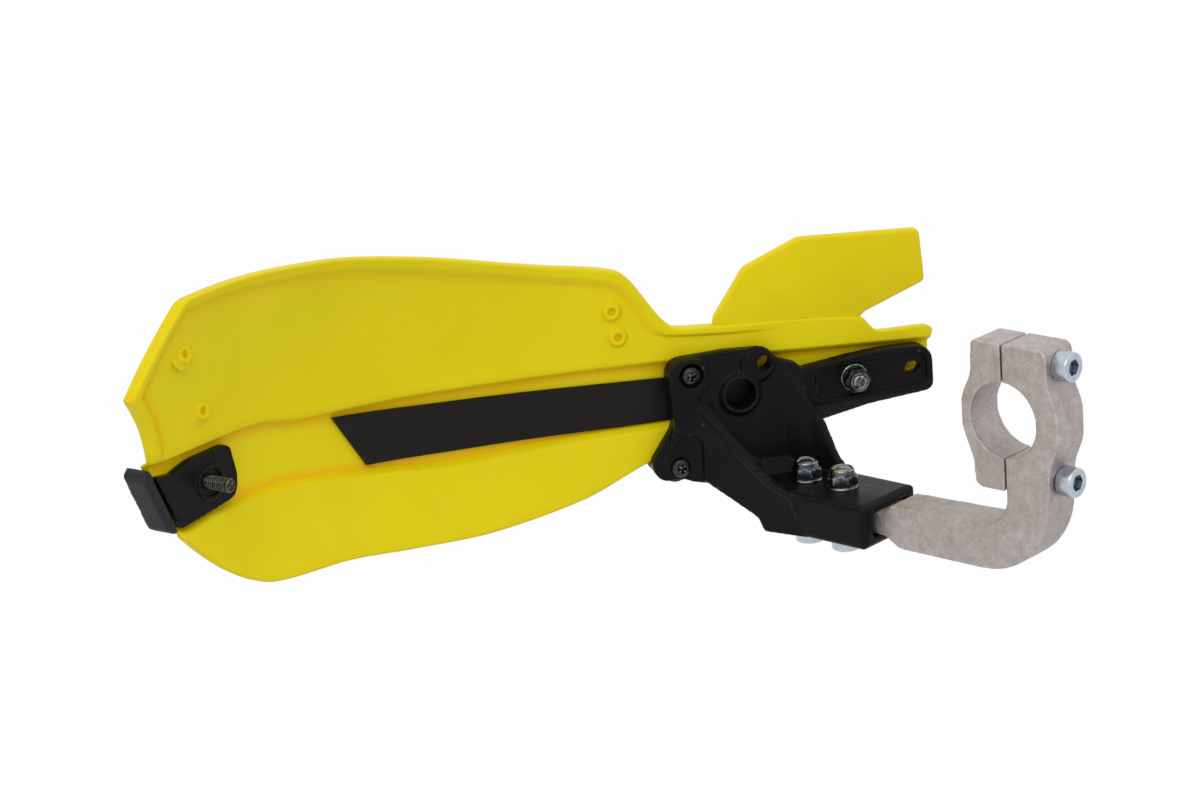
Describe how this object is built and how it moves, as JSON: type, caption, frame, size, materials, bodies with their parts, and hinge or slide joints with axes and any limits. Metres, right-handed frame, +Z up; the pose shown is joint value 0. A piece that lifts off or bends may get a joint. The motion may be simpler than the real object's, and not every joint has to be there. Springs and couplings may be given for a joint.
{
  "type": "motorcycle hand guard",
  "caption": "Left-hand guard: moulded shell with wing, channel strip and wrapped bumper, on a gusseted bracket and alloy arm with a split bar clamp.",
  "frame": {"origin": "centre of the handlebar clamp's bore, midway along its width", "axes": "+X inboard along the handlebar, +Y forward from the bar to the shell, +Z up; the shell reaches outboard along -X"},
  "size_m": [0.2484, 0.1829, 0.1139],
  "materials": {
    "yellow_shell": "satin moulded",
    "black_strip": "satin",
    "dark_bumper": "fine grain",
    "black_moulding": "satin moulded",
    "blasted_alloy": "tumbled",
    "zinc_steel": "zinc plated",
    "bright_steel": "bright plated",
    "black_steel": "black plated",
    "brass_insert": "knurled",
    "nylon_ring": "plain"
  },
  "bodies": {
    "root": {"shell": "yellow_shell", "spine_strip": "black_strip", "front_bumper": "dark_bumper", "end_tab": "black_moulding", "mount_bracket": "black_moulding", "clamp_arm": "blasted_alloy", "clamp_cap": "blasted_alloy", "clamp_screw_upper": "zinc_steel", "clamp_screw_lower": "zinc_steel", "arm_bolt_rear": "zinc_steel", "arm_bolt_front": "zinc_steel", "arm_washer_rear": "zinc_steel", "arm_washer_front": "zinc_steel", "arm_nut_rear": "bright_steel", "arm_nut_front": "bright_steel", "lock_ring_rear": "nylon_ring", "lock_ring_front": "nylon_ring", "bracket_screw_upper": "black_steel", "bracket_screw_lower": "black_steel", "screw_insert_upper": "brass_insert", "screw_insert_lower": "brass_insert", "strip_bolt": "bright_steel", "strip_washer": "bright_steel", "strip_nut": "black_steel", "end_screw": "black_steel"}
  },
  "joints": []
}
